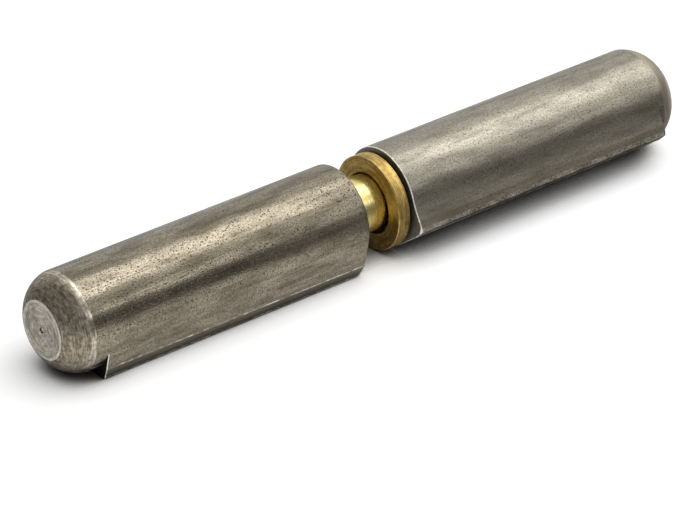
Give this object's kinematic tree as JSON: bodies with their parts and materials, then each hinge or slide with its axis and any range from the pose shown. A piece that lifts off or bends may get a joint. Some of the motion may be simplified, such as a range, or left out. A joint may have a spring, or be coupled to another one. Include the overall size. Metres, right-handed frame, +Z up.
{
  "type": "weld-on barrel hinge",
  "caption": "Weld-on lift-off barrel hinge of drawn teardrop bar with domed ends, a brass pin and a brass thrust washer, lying on its side and drawn a little apart.",
  "frame": {"origin": "bottom centre of the whole hinge, on the surface that it lies on", "axes": "+X along the hinge axis from the pin barrel to the socket barrel, -Y to the front, where the socket barrel's nose points, +Z up"},
  "size_m": [0.15, 0.0222, 0.02],
  "materials": {
    "barrel_steel": "drawn mild steel, bare, with turned ends",
    "pin_brass": "drawn and polished brass",
    "washer_brass": "turned brass"
  },
  "bodies": {
    "pin_side": {"pin_barrel": "barrel_steel", "hinge_pin": "pin_brass"},
    "washer": {"thrust_washer": "washer_brass"},
    "socket_side": {"socket_barrel": "barrel_steel"}
  },
  "joints": [
    {"name": "lift_off", "type": "slide", "parent": "pin_side", "child": "washer", "axis": [1, 0, 0], "range_m": [-0.00755, 0.03]},
    {"name": "barrel_swing", "type": "hinge", "parent": "washer", "child": "socket_side", "pos_m": [0, 0.00111, 0.01], "axis": [1, 0, 0], "continuous": true}
  ]
}
